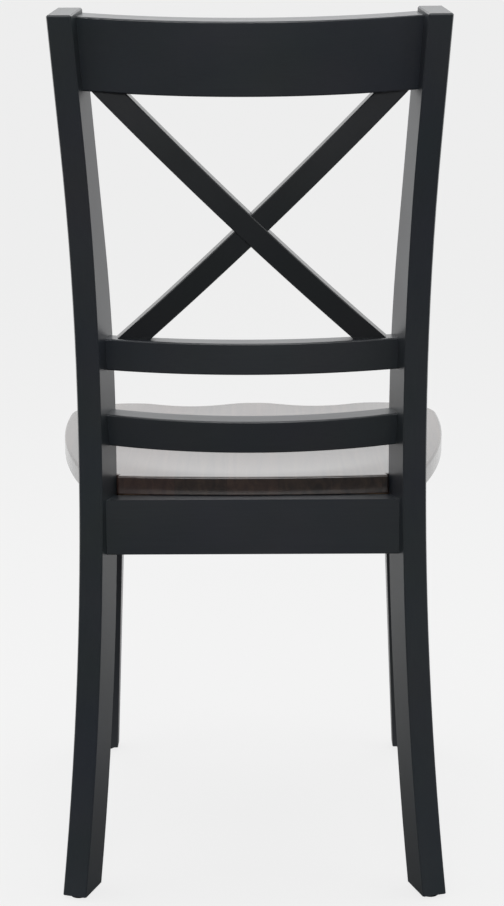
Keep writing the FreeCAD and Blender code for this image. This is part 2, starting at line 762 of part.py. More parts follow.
def seat_screw_point(side, front):
    """Underside of a corner block where its seat screw goes in."""
    middle, out, along, length = block_frame(side, front)
    shift = size.seat_screw_offset.value if front else 0
    point = middle + along * shift + out * (size.block_thickness.value / 2)
    return FreeCAD.Vector(point.x, point.y, block_bottom.value)


CORNERS = [(word, side, front) for front in (True, False) for word, side in SIDES]


def make_screw(name, head, direction, length):
    """A round headed screw with its head's underside at a point."""
    shank = new_cylinder(name + "_shank", size.screw_diameter, length, head, direction)
    cap = new_cylinder(name + "_head", size.screw_head_diameter, size.screw_head_height,
                       head - direction * size.screw_head_height.value, direction)
    screw = join("Part::MultiFuse", name, [cap, shank])
    return screw


def screw_hole(name, head, direction, length):
    start = head - direction * size.glue_space.value
    return new_cylinder(name, size.screw_diameter + size.joint_gap * 2,
                        length + size.glue_space * 2, start, direction)


# Dowels of the seat frame

def frame_dowel_places():
    """Middle and direction of the dowels between the posts and the rear and side aprons."""
    places = []
    (start_x, start_y), front_end, ahead = side_apron_line(sized(0))
    along = rear_apron_back - size.rear_apron_thickness / 2
    across = post_face_across(along)
    for word, side in SIDES:
        for height in (apron_bottom + size.rear_dowel_inset, size.apron_top - size.rear_dowel_inset):
            places.append((FreeCAD.Vector(side * across.value, along.value, height.value),
                           FreeCAD.Vector(side, 0, 0)))
        for height in (apron_bottom + size.side_dowel_inset, size.apron_top - size.side_dowel_inset):
            back = sweep(height).value
            middle = FreeCAD.Vector(side * (start_x.value + back * turn_sine.value),
                                    start_y.value + back * turn_cosine.value, height.value)
            places.append((middle, FreeCAD.Vector(side * ahead[0].value, ahead[1].value, 0)))
    return places


def make_frame_dowels(name, gap, extra):
    dowels = []
    for number, (middle, direction) in enumerate(frame_dowel_places()):
        start = middle - direction * (size.dowel_length.value / 2 + extra.value)
        dowels.append(new_cylinder("%s_%d" % (name, number), size.dowel_diameter + gap * 2,
                                   size.dowel_length + extra * 2, start, direction))
    return dowels


# Seat panel

def make_seat():
    """A solid panel with bowed edges, notched around the posts and hollowed for the sitter."""
    gap_x = size.seat_post_gap * turn_sine
    gap_y = size.seat_post_gap * turn_cosine
    inner_x, inner_y = post_face_point(-size.post_depth)
    outer_x = inner_x + size.post_width * turn_cosine
    outer_y = inner_y - size.post_width * turn_sine
    widest_y = post_line - size.seat_widest
    half = outer_x + size.seat_overhang
    radius = size.seat_side_radius
    tail_y = outer_y - gap_y - size.post_width / 2
    tail_bow = tail_y - widest_y
    tail_x = half - radius + root(radius * radius - tail_bow * tail_bow)
    corner = size.seat_front_corner
    front_y = post_line - size.seat_front
    drop = size.seat_widest - size.seat_front + corner
    inner_radius = radius - corner
    reach = root(inner_radius * inner_radius - drop * drop)
    corner_x = half - radius + reach
    share = radius / inner_radius
    notch_x = inner_x - gap_x - gap_y
    notch_y = inner_y - gap_y + gap_x
    notch_run = size.seat_notch + size.seat_post_gap
    left = [
        (notch_x + notch_run * turn_sine, notch_y + notch_run * turn_cosine),
        (notch_x, notch_y),
        (outer_x - gap_x, outer_y - gap_y),
        (tail_x, tail_y, radius, -1),
        (half - radius + reach * share, widest_y + drop * share, corner, -1),
        (corner_x, front_y),
    ]
    right = [(-point[0], point[1]) for point in reversed(left)]
    right[0] += (size.seat_front_corner, -1)
    right[1] += (radius, -1)
    right[-1] += (size.seat_back_radius, -1)
    body = new_body("seat_panel_blank")
    sketch = new_sketch(body, "XY_Plane", size.apron_top)
    draw_outline(sketch, left + right)
    pad = new_pad(body, sketch, size.seat_thickness)
    rounded = round_edges(body, pad, size.seat_top_round, lambda edge: edge.BoundBox.ZMin > seat_top.value - 0.01)
    round_edges(body, rounded, size.seat_bottom_round,
                lambda edge: edge.BoundBox.ZMax < size.apron_top.value + 0.01)
    hollows = [make_hollow("scoop", sized(0), size.scoop_middle, size.scoop_width, size.scoop_length,
                           size.scoop_depth, seat_top)]
    for word, side in SIDES:
        hollows.append(make_hollow("thigh_hollow_" + word, size.thigh_reach * side, size.thigh_middle,
                                   size.thigh_width, size.thigh_length, size.thigh_depth, seat_top))
    return body, hollows


def make_hollow(name, across, ahead, width, length, depth, top):
    """An ellipsoid that cuts a hollow of a width, length and depth into a surface."""
    bowl = size.scoop_bowl
    spread = root(1 - (1 - depth / bowl) * (1 - depth / bowl))
    hollow = doc.addObject("Part::Ellipsoid", name)
    bind(hollow, Radius1=bowl, Radius2=width / 2 / spread, Radius3=length / 2 / spread)
    base = FreeCAD.Vector(across.value, (post_line - ahead).value, (top + bowl - depth).value)
    hollow.Placement = FreeCAD.Placement(base, FreeCAD.Rotation())
    return hollow


# Glides

def glide_places():
    """The middle of each foot."""
    middle = sweep(size.glide_height).value - size.glide_inset.value
    places = []
    for word, side in SIDES:
        rear = post_frame(side).multVec(FreeCAD.Vector(middle, 0, 0))
        places.append((word, "rear", rear))
        across = side * (size.leg_outside.value - size.leg_foot_width.value / 2)
        along = leg_front.value + size.leg_foot_depth.value / 2
        places.append((word, "front", FreeCAD.Vector(across, along, 0)))
    return places


def make_glide_nail(name, floor):
    """A flat headed nail, its head sunk into the glide's underside."""
    head = floor + UP * size.glide_recess.value
    cap = new_cylinder(name + "_head", size.nail_head_diameter, size.nail_head_height, head, UP)
    shank = new_cylinder(name + "_shank", size.nail_diameter, size.nail_head_height + size.nail_length, head, UP)
    return join("Part::MultiFuse", name, [cap, shank])


def make_glide(name, floor):
    disc = new_cylinder(name + "_disc", size.glide_diameter, size.glide_height, floor, UP)
    sink = new_cylinder(name + "_sink", size.nail_head_diameter + size.joint_gap * 2,
                        size.glide_recess + size.nail_head_height, floor, UP)
    bore = new_cylinder(name + "_bore", size.nail_diameter + size.joint_gap * 2, size.glide_height, floor, UP)
    return cut(name, disc, [sink, bore])


def nail_hole(name, floor):
    return new_cylinder(name, size.nail_diameter + size.joint_gap * 2,
                        size.nail_length + size.glide_height, floor, UP)


# Building the chair

finished = {}


def finish(label, item):
    item.Label = label
    finished[label] = item


post_blanks = {side: make_post_blank("rear_post_" + word, side) for word, side in SIDES}
POST_SPACE = 60.0
beyond_posts = []
for word, side in SIDES:
    reach = side * (size.post_width.value / 2 - POST_SPACE / 2)
    place = post_frame(side) * FreeCAD.Placement(
        FreeCAD.Vector(0, reach, size.post_height.value / 2), FreeCAD.Rotation())
    beyond_posts.append(new_box("beyond_post_" + word, size.post_height / 2, POST_SPACE,
                                size.post_height * 1.2, place))

slat_holes = make_slat_dowels("slat_dowel_hole", size.joint_gap, size.glue_space)
RAIL_SPACE = 80.0
beyond_rails = []
for (label, height, middle, tilt, inset), way in ((RAILS[0], 1), (RAILS[1], -1)):
    offset = way * (RAIL_SPACE - height.value) / 2
    place = rail_frame(middle, tilt, inset) * FreeCAD.Placement(FreeCAD.Vector(0, 0, offset), FreeCAD.Rotation())
    beyond_rails.append(new_box("beyond_" + label, size.post_spread * 1.5, size.post_spread / 2,
                                RAIL_SPACE, place))

for label, height, middle, tilt, inset in RAILS:
    rail = make_rail(label, height, middle, tilt, inset, beyond_posts)
    doc.recompute()
    finish(label, rail if label == "lower_back_rail" else cut(label, rail, slat_holes))

finish("cross_slat_full", cut("cross_slat_full",
                              make_slat("cross_slat_full", 1, size.slat_proud, True, beyond_rails), slat_holes))
finish("cross_slat_lapped", cut("cross_slat_lapped",
                                make_slat("cross_slat_lapped", -1, sized(0), False, beyond_rails), slat_holes))
finish("slat_dowels", join("Part::Compound", "slat_dowels", make_slat_dowels("slat_dowel", sized(0), sized(0))))

dowel_holes = make_frame_dowels("frame_dowel_hole", size.joint_gap, size.glue_space)
finish("frame_dowels", join("Part::Compound", "frame_dowels",
                            make_frame_dowels("frame_dowel", sized(0), sized(0))))

nail_holes = {}
glides = []
nails = []
for word, row, floor in glide_places():
    nail_holes[(word, row)] = nail_hole("nail_hole_%s_%s" % (row, word), floor)
    glides.append(make_glide("glide_%s_%s" % (row, word), floor))
    nails.append(make_glide_nail("glide_nail_%s_%s" % (row, word), floor))
finish("leg_glides", join("Part::Compound", "leg_glides", glides))
finish("glide_nails", join("Part::Compound", "glide_nails", nails))

screws = []
screw_holes = []
seat_screws = []
seat_screw_holes = []
for word, side, front in CORNERS:
    row = "front" if front else "rear"
    for number, (head, out) in enumerate(screw_points(side, front)):
        name = "block_screw_%s_%s_%d" % (row, word, number)
        screws.append(make_screw(name, head, out, size.block_screw_length))
        screw_holes.append(screw_hole(name + "_hole", head, out, size.block_screw_length))
    name = "seat_screw_%s_%s" % (row, word)
    head = seat_screw_point(side, front)
    seat_screws.append(make_screw(name, head, UP, size.seat_screw_length))
    seat_screw_holes.append(screw_hole(name + "_hole", head, UP, size.seat_screw_length))
finish("block_screws", join("Part::Compound", "block_screws", screws))
finish("seat_screws", join("Part::Compound", "seat_screws", seat_screws))

bolts = []
bolt_holes = []
washers = []
nuts = []
for word, side in SIDES:
    face, out = bolt_point(side)
    start = face - out * size.bolt_tail.value
    bolt_length = size.bolt_tail + size.block_thickness + size.bolt_in_leg
    bolts.append(new_cylinder("hanger_bolt_" + word, size.bolt_diameter, bolt_length, start, out))
    bolt_holes.append(new_cylinder("hanger_bolt_hole_" + word, size.bolt_diameter + size.joint_gap * 2,
                                   bolt_length + size.glue_space, start, out))
    seat_of_washer = face - out * size.washer_thickness.value
    ring = new_cylinder("washer_ring_" + word, size.washer_diameter, size.washer_thickness, seat_of_washer, out)
    washers.append(cut("washer_" + word, ring, [bolt_holes[-1]]))
    seat_of_nut = seat_of_washer - out * size.nut_height.value
    hexagon = doc.addObject("Part::Prism", "nut_hexagon_" + word)
    hexagon.Polygon = 6
    bind(hexagon, Circumradius=size.nut_width / root(sized(3)), Height=size.nut_height)
    hexagon.Placement = FreeCAD.Placement(seat_of_nut, FreeCAD.Rotation(UP, out))
    nuts.append(cut("nut_" + word, hexagon, [bolt_holes[-1]]))
finish("hanger_bolts", join("Part::Compound", "hanger_bolts", bolts))
finish("bolt_washers", join("Part::Compound", "bolt_washers", washers))
finish("bolt_nuts", join("Part::Compound", "bolt_nuts", nuts))

for word, side in SIDES:
    label = "rear_post_" + word
    mortises = [tenon_box("%s_mortise_%s" % (rail, word), height, middle, tilt, inset, side,
                          size.joint_gap, size.glue_space) for rail, height, middle, tilt, inset in RAILS]
    finish(label, cut(label, post_blanks[side], mortises + dowel_holes + [nail_holes[(word, "rear")]]))

finish("rear_apron", cut("rear_apron", make_rear_apron(), dowel_holes + screw_holes))
finish("front_apron", cut("front_apron", make_front_apron(), screw_holes))
for word, side in SIDES:
    label = "side_apron_" + word
    finish(label, cut(label, make_side_apron(label, side), [post_blanks[side]] + dowel_holes + screw_holes))
    label = "front_leg_" + word
    face, out = bolt_point(side)
    flat = FreeCAD.Placement(face + out * (size.block_thickness.value / 2), FreeCAD.Rotation(
        FreeCAD.Vector(0, 1, 0), out))
    flat_box = new_box(label + "_flat", size.leg_square * 2, size.block_thickness, size.block_height, flat)
    finish(label, cut(label, make_front_leg(label, side), [flat_box, bolt_holes[0 if side > 0 else 1],
                                                           nail_holes[(word, "front")]]))
for word, side, front in CORNERS:
    label = "%s_corner_block_%s" % ("front" if front else "rear", word)
    holes = screw_holes + seat_screw_holes + (bolt_holes if front else [])
    finish(label, cut(label, make_block(label, side, front), holes))

seat_blank, hollows = make_seat()
finish("seat_panel", cut("seat_panel", seat_blank, hollows + seat_screw_holes))

doc.recompute()
for item in doc.Objects:
    if "Invalid" in item.State or "Error" in item.State:
        raise RuntimeError("%s failed: %s" % (item.Label, item.State))
for label, item in finished.items():
    if item.Shape.isNull() or not item.Shape.isValid() or not item.Shape.Solids:
        raise RuntimeError(label + " has no valid shape")

os.makedirs("parts", exist_ok=True)
for label, item in finished.items():
    item.Shape.exportStep(os.path.join("parts", label + ".step"))
    print("%-26s solids %2d  volume %9.1f mm3" % (label, len(item.Shape.Solids), item.Shape.Volume))
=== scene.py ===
import math

import bmesh
import bpy
from bpy.props import FloatProperty, FloatVectorProperty, PointerProperty
from mathutils import Matrix, Vector


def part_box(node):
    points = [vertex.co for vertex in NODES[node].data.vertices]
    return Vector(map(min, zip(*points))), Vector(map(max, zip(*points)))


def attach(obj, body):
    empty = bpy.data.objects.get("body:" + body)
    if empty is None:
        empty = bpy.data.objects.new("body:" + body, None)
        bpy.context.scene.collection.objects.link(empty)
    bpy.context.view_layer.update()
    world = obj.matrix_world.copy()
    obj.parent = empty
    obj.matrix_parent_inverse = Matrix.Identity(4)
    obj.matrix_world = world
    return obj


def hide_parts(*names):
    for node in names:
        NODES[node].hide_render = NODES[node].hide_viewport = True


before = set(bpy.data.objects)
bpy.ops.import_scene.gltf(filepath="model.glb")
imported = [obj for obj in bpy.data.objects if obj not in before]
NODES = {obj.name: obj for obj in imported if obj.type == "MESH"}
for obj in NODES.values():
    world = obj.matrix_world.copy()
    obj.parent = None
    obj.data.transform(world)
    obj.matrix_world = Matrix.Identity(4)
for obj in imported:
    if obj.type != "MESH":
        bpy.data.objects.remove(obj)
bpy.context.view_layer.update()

bl_info = {
    "name": "Cross Back Chair",
    "version": (1, 0, 0),
    "blender": (4, 5, 0),
    "location": "3D View > Sidebar > Chair",
    "description": "Finishes a lacquered cross back chair around its joined frame",
    "category": "Object",
}

MM = 0.001
SAME_PLACE = 1e-6
ON_PLANE = 1e-7

# The way the wood's grain runs in each piece of the painted frame
GRAIN = {
    "upright": ("rear_post_left", "rear_post_right", "front_leg_left", "front_leg_right"),
    "across": ("crest_rail", "upper_back_rail", "lower_back_rail", "rear_apron", "front_apron"),
    "lengthwise": ("side_apron_left", "side_apron_right"),
    "rising": ("cross_slat_full",),
    "falling": ("cross_slat_lapped",),
}
GRAIN_TURN = {
    "upright": (0.0, 0.0, 0.0),
    "across": (0.0, 90.0, 0.0),
    "lengthwise": (90.0, 0.0, 0.0),
    "rising": (0.0, -45.0, 0.0),
    "falling": (0.0, 45.0, 0.0),
}
SLAT_GRAIN = ("rising", "falling")
RAW_WOOD = ("front_corner_block_left", "front_corner_block_right", "rear_corner_block_left",
            "rear_corner_block_right", "slat_dowels", "frame_dowels")
STEEL = ("hanger_bolts", "bolt_washers", "bolt_nuts", "block_screws", "seat_screws", "glide_nails")

# Each soft light's name, place, width and height, and power; all of them face the chair's middle
SOFTBOXES = (
    ("top_softbox", (0.0, -0.6, 2.6), (2.4, 1.8), 30.0),
    ("front_softbox", (0.0, 2.8, 1.7), (1.6, 1.0), 30.0),
    ("left_softbox", (2.3, 0.3, 1.3), (1.4, 2.0), 12.0),
    ("right_softbox", (-2.3, 0.3, 1.3), (1.4, 2.0), 12.0),
)
CHAIR_MIDDLE = Vector((0.0, 0.0, 0.5))
STUDIO_WHITE = "FFFFFF"
# Painted shade: the floor's dark grey before the chair, seen by rays other than the camera's
PAINTED_SHADE_GREY = "404040"
SENSOR_HEIGHT = 36.0
FLOOR_REACH = 200.0


# Building materials

def linear(colour):
    """A colour written as sRGB hex, such as "26292C", or as an sRGB triple, turned to linear."""
    if isinstance(colour, str):
        colour = [int(colour[place:place + 2], 16) / 255 for place in (0, 2, 4)]
    steps = [part / 12.92 if part <= 0.04045 else ((part + 0.055) / 1.055) ** 2.4 for part in colour]
    return (*steps, 1.0)


def new_material(name):
    material = bpy.data.materials.new(name)
    material.use_nodes = True
    material.node_tree.nodes.clear()
    return material


def add(tree, kind, settings=None, links=None):
    """Adds a node, sets its settings and socket values, and links its inputs from other sockets."""
    node = tree.nodes.new(kind)
    for name, value in (settings or {}).items():
        if isinstance(name, str) and hasattr(node, name):
            setattr(node, name, value)
        else:
            node.inputs[name].default_value = value
    for name, source in (links or {}).items():
        tree.links.new(source, node.inputs[name])
    return node


def dress(names, material):
    """Gives CAD nodes a material, with their meshes as they are."""
    for name in names:
        node = NODES[name]
        node.data.materials.clear()
        node.data.materials.append(material)


def make_lacquer(turn, paint, painted_shade_scale):
    """Satin black lacquer, sprayed over close grained hardwood.

    It looks nearly flat black face on and pale where it is seen edge on. The grain telegraphs
    through as faint streaks along the piece, and the spray leaves a slight orange peel. A
    painted shade scale under 1 darkens the base colour; on the slats it is painted shade.
    """
    material = new_material("satin_black_lacquer_on_hardwood_" + turn)
    tree = material.node_tree
    place = add(tree, "ShaderNodeTexCoord")
    turned = add(tree, "ShaderNodeMapping",
                 {"Rotation": [math.radians(angle) for angle in GRAIN_TURN[turn]]},
                 {"Vector": place.outputs["Object"]})
    # Streaks about 1.6 mm wide and 60 mm long
    along = add(tree, "ShaderNodeMapping", {"Scale": (1 / (1.6 * MM), 1 / (1.6 * MM), 1 / (60 * MM))},
                {"Vector": turned.outputs["Vector"]})
    streaks = add(tree, "ShaderNodeTexNoise", {"Scale": 1.0, "Detail": 4.0, "Roughness": 0.6},
                  {"Vector": along.outputs["Vector"]})
    # Orange peel about 2.5 mm across
    peel = add(tree, "ShaderNodeTexNoise", {"Scale": 1 / (2.5 * MM), "Detail": 2.0, "Roughness": 0.5},
               {"Vector": place.outputs["Object"]})
    # Broad change in the film's depth, about 120 mm
    clouds = add(tree, "ShaderNodeTexNoise", {"Scale": 1 / (120 * MM), "Detail": 3.0},
                 {"Vector": place.outputs["Object"]})
    tone = add(tree, "ShaderNodeMix",
               {"data_type": "RGBA", 6: linear(paint.dark), 7: linear(paint.light)},
               {0: streaks.outputs["Fac"]})
    clouded = add(tree, "ShaderNodeMix", {"data_type": "RGBA", "blend_type": "MULTIPLY", 0: 0.35},
                  {6: tone.outputs[2], 7: clouds.outputs["Color"]})
    # Painted shade: the base colour is scaled darker on the slats
    shade = add(tree, "ShaderNodeVectorMath", {"operation": "SCALE", "Scale": painted_shade_scale},
                {0: clouded.outputs[2]})
    gloss = add(tree, "ShaderNodeMapRange",
                {"From Min": 0.3, "From Max": 0.7,
                 "To Min": paint.roughness - 0.05, "To Max": paint.roughness + 0.05},
                {"Value": clouds.outputs["Fac"]})
    grain_bump = add(tree, "ShaderNodeBump", {"Strength": 0.35, "Distance": paint.grain_depth * MM},
                     {"Height": streaks.outputs["Fac"]})
    peel_bump = add(tree, "ShaderNodeBump", {"Strength": 0.25, "Distance": 0.02 * MM},
                    {"Height": peel.outputs["Fac"], "Normal": grain_bump.outputs["Normal"]})
    shader = add(tree, "ShaderNodeBsdfPrincipled",
                 {"IOR": 1.5, "Coat Weight": paint.coat, "Coat Roughness": 0.28, "Coat IOR": 1.5},
                 {"Base Color": shade.outputs["Vector"], "Roughness": gloss.outputs["Result"],
                  "Normal": peel_bump.outputs["Normal"], "Coat Normal": peel_bump.outputs["Normal"]})
    add(tree, "ShaderNodeOutputMaterial", links={"Surface": shader.outputs["BSDF"]})
    return material


def make_stained_seat(seat):
    """Hardwood staves glued edge to edge, stained dark walnut and clear coated.

    The staves differ in tone and meet in fine dark lines that run front to back, with long grain
    and short open pores, under a coat that mirrors softly at a low angle.
    """
    material = new_material("dark_walnut_stained_hardwood_staves")
    tree = material.node_tree
    place = add(tree, "ShaderNodeTexCoord")
    split = add(tree, "ShaderNodeSeparateXYZ", links={"Vector": place.outputs["Object"]})
    board = add(tree, "ShaderNodeMath", {"operation": "DIVIDE", 1: seat.stave_width},
                {0: split.outputs["X"]})
    shifted = add(tree, "ShaderNodeMath", {"operation": "ADD", 1: 0.5}, {0: board.outputs["Value"]})
    number = add(tree, "ShaderNodeMath", {"operation": "FLOOR"}, {0: shifted.outputs["Value"]})
    part = add(tree, "ShaderNodeMath", {"operation": "FRACT"}, {0: shifted.outputs["Value"]})
    tint = add(tree, "ShaderNodeTexWhiteNoise", {"noise_dimensions": "1D"},
               {"W": number.outputs["Value"]})
    # Each stave samples its own length of grain
    slide = add(tree, "ShaderNodeVectorMath", {"operation": "SCALE", "Scale": 3.0},
                {0: tint.outputs["Color"]})
    moved = add(tree, "ShaderNodeVectorMath", {"operation": "ADD"},
                {0: place.outputs["Object"], 1: slide.outputs["Vector"]})
    # Growth rings about 9 mm apart that drift over 350 mm of length
    rings_place = add(tree, "ShaderNodeMapping", {"Scale": (1 / (9 * MM), 1 / (350 * MM), 1 / (14 * MM))},
                      {"Vector": moved.outputs["Vector"]})
    rings = add(tree, "ShaderNodeTexNoise",
                {"Scale": 1.0, "Detail": 3.0, "Roughness": 0.5, "Distortion": 0.6},
                {"Vector": rings_place.outputs["Vector"]})
    # Pores about 1 mm wide and 14 mm long
    pores_place = add(tree, "ShaderNodeMapping",
                      {"Scale": (1 / (1.0 * MM), 1 / (14 * MM), 1 / (1.0 * MM))},
                      {"Vector": moved.outputs["Vector"]})
    pores = add(tree, "ShaderNodeTexNoise", {"Scale": 1.0, "Detail": 4.0, "Roughness": 0.65},
                {"Vector": pores_place.outputs["Vector"]})
    grain = add(tree, "ShaderNodeValToRGB", links={"Fac": rings.outputs["Fac"]})
    grain.color_ramp.elements[0].position = 0.34
    grain.color_ramp.elements[0].color = linear(seat.dark)
    grain.color_ramp.elements[1].position = 0.68
    grain.color_ramp.elements[1].color = linear(seat.light)
    warm = add(tree, "ShaderNodeMix", {"data_type": "RGBA", 7: linear(seat.red)},
               {6: grain.outputs["Color"]})
    warm_share = add(tree, "ShaderNodeMath", {"operation": "MULTIPLY", 1: 0.5},
                     {0: tint.outputs["Value"]})
    tree.links.new(warm_share.outputs["Value"], warm.inputs[0])
    pore_tone = add(tree, "ShaderNodeMapRange",
                    {"From Min": 0.35, "From Max": 0.6, "To Min": 0.72, "To Max": 1.0},
                    {"Value": pores.outputs["Fac"]})
    stave_tone = add(tree, "ShaderNodeMapRange", {"To Min": 0.78, "To Max": 1.18},
                     {"Value": tint.outputs["Value"]})
    tone = add(tree, "ShaderNodeMath", {"operation": "MULTIPLY"},
               {0: pore_tone.outputs["Result"], 1: stave_tone.outputs["Result"]})
    # Glue lines about 0.5 mm wide
    centred = add(tree, "ShaderNodeMath", {"operation": "SUBTRACT", 1: 0.5}, {0: part.outputs["Value"]})
    away = add(tree, "ShaderNodeMath", {"operation": "ABSOLUTE"}, {0: centred.outputs["Value"]})
    line = add(tree, "ShaderNodeMapRange",
               {"From Min": 0.5 - 0.5 * MM / seat.stave_width, "From Max": 0.5,
                "To Min": 1.0, "To Max": 0.45},
               {"Value": away.outputs["Value"]})
    lined = add(tree, "ShaderNodeMath", {"operation": "MULTIPLY"},
                {0: tone.outputs["Value"], 1: line.outputs["Result"]})
    colour = add(tree, "ShaderNodeVectorMath", {"operation": "SCALE"},
                 {0: warm.outputs[2], "Scale": lined.outputs["Value"]})
    bump = add(tree, "ShaderNodeBump", {"Strength": 0.18, "Distance": 0.05 * MM},
               {"Height": pores.outputs["Fac"]})
    shader = add(tree, "ShaderNodeBsdfPrincipled",
                 {"Roughness": 0.34, "IOR": 1.5,
                  "Coat Weight": 1.0, "Coat Roughness": seat.coat_roughness, "Coat IOR": 1.5},
                 {"Base Color": colour.outputs["Vector"], "Normal": bump.outputs["Normal"],
                  "Coat Normal": bump.outputs["Normal"]})
    add(tree, "ShaderNodeOutputMaterial", links={"Surface": shader.outputs["BSDF"]})
    return material


def make_raw_wood(colours):
    """Planed beech, unfinished: a dry pale pink brown with short flecks."""
    material = new_material("planed_beech_unfinished")
    tree = material.node_tree
    place = add(tree, "ShaderNodeTexCoord")
    # Flecks about 0.8 mm wide and 5 mm tall
    stretched = add(tree, "ShaderNodeMapping", {"Scale": (1 / (0.8 * MM), 1 / (0.8 * MM), 1 / (5 * MM))},
                    {"Vector": place.outputs["Object"]})
    flecks = add(tree, "ShaderNodeTexNoise", {"Scale": 1.0, "Detail": 3.0},
                 {"Vector": stretched.outputs["Vector"]})
    tone = add(tree, "ShaderNodeMix",
               {"data_type": "RGBA", 6: linear(colours.wood_dark), 7: linear(colours.wood)},
               {0: flecks.outputs["Fac"]})
    bump = add(tree, "ShaderNodeBump", {"Strength": 0.4, "Distance": 0.1 * MM},
               {"Height": flecks.outputs["Fac"]})
    shader = add(tree, "ShaderNodeBsdfPrincipled", {"Roughness": 0.72, "IOR": 1.5},
                 {"Base Color": tone.outputs[2], "Normal": bump.outputs["Normal"]})
    add(tree, "ShaderNodeOutputMaterial", links={"Surface": shader.outputs["BSDF"]})
    return material


def make_zinc_steel(colours):
    """Zinc plated steel, barrel finished: bright grey with a fine cloudy spangle."""
    material = new_material("zinc_plated_steel_barrel_finished")
    tree = material.node_tree
    place = add(tree, "ShaderNodeTexCoord")
    # Spangle about 1.5 mm across
    cloud = add(tree, "ShaderNodeTexNoise", {"Scale": 1 / (1.5 * MM), "Detail": 3.0},
                {"Vector": place.outputs["Object"]})
    tone = add(tree, "ShaderNodeMix",
               {"data_type": "RGBA", 6: linear(colours.steel_dark), 7: linear(colours.steel)},
               {0: cloud.outputs["Fac"]})
    gloss = add(tree, "ShaderNodeMapRange", {"To Min": 0.26, "To Max": 0.46},
                {"Value": cloud.outputs["Fac"]})
    shader = add(tree, "ShaderNodeBsdfPrincipled", {"Metallic": 1.0},
                 {"Base Color": tone.outputs[2], "Roughness": gloss.outputs["Result"]})
    add(tree, "ShaderNodeOutputMaterial", links={"Surface": shader.outputs["BSDF"]})
    return material


def make_plastic(colours):
    """Moulded polypropylene: dull black with a faint satin skin."""
    material = new_material("moulded_polypropylene_black")
    tree = material.node_tree
    place = add(tree, "ShaderNodeTexCoord")
    # Moulded skin about 0.6 mm across
    skin = add(tree, "ShaderNodeTexNoise", {"Scale": 1 / (0.6 * MM), "Detail": 2.0},
               {"Vector": place.outputs["Object"]})
    tone = add(tree, "ShaderNodeMix",
               {"data_type": "RGBA", 6: linear(colours.plastic_dark), 7: linear(colours.plastic)},
               {0: skin.outputs["Fac"]})
    bump = add(tree, "ShaderNodeBump", {"Strength": 0.2, "Distance": 0.05 * MM},
               {"Height": skin.outputs["Fac"]})
    shader = add(tree, "ShaderNodeBsdfPrincipled", {"Roughness": 0.5, "IOR": 1.49},
                 {"Base Color": tone.outputs[2], "Normal": bump.outputs["Normal"]})
    add(tree, "ShaderNodeOutputMaterial", links={"Surface": shader.outputs["BSDF"]})
    return material


# Building pieces

def add_piece(name, mesh, material, slot, *nodes):
    """Puts a mesh in the scene as a piece that rides on the chair and stands for CAD nodes."""
    piece = bpy.data.objects.new(name, mesh)
    bpy.context.scene.collection.objects.link(piece)
    mesh.materials.clear()
    mesh.materials.append(material)
    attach(piece, "root")
    if nodes:
        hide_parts(*nodes)
    return piece


def outline_of(node, height):
    """A bmesh of the outer loop of a CAD node's level section at a height."""
    shape = bmesh.new()
    shape.from_mesh(NODES[node].data)
    bmesh.ops.remove_doubles(shape, verts=shape.verts, dist=SAME_PLACE)
    bmesh.ops.bisect_plane(shape, geom=[*shape.verts, *shape.edges, *shape.faces], dist=ON_PLANE,
                           plane_co=(0.0, 0.0, height), plane_no=(0.0, 0.0, 1.0),
                           clear_inner=True, clear_outer=True)
    # The loop is followed from its widest point, which leaves the screw holes' loops behind
    loop = {max(shape.verts, key=lambda vert: vert.co.x)}
    fresh = set(loop)
    while fresh:
        fresh = {edge.other_vert(vert) for vert in fresh for edge in vert.link_edges} - loop
        loop |= fresh
    bmesh.ops.delete(shape, geom=[vert for vert in shape.verts if vert not in loop], context="VERTS")
    straight = [vert for vert in shape.verts if vert.calc_edge_angle(1.0) < math.radians(0.1)]
    bmesh.ops.dissolve_verts(shape, verts=straight)
    return shape


def level_edges(shape, height):
    """The edges that lie level at a height."""
    return [edge for edge in shape.edges
            if all(abs(vert.co.z - height) < SAME_PLACE for vert in edge.verts)]


def cut_across(shape, place, normal):
    """Splits every face that a plane passes through."""
    bmesh.ops.bisect_plane(shape, geom=[*shape.verts, *shape.edges, *shape.faces], dist=ON_PLANE,
                           plane_co=place, plane_no=normal)


def hollow_depth(place, hollows, blend):
    """How deep the hollows are at a point, with their rims and meetings sanded fair over a blend.

    Each hollow is a bowl that is deepest in its middle and falls to nothing at its rim.
    """
    total = 1.0
    for middle_x, middle_y, width, length, depth in hollows:
        out = ((place.x - middle_x) * 2 / width) ** 2 + ((place.y - middle_y) * 2 / length) ** 2
        total += math.exp(max(depth * (1.0 - out) / blend, -60.0))
    return blend * math.log(total)


# Building the stage

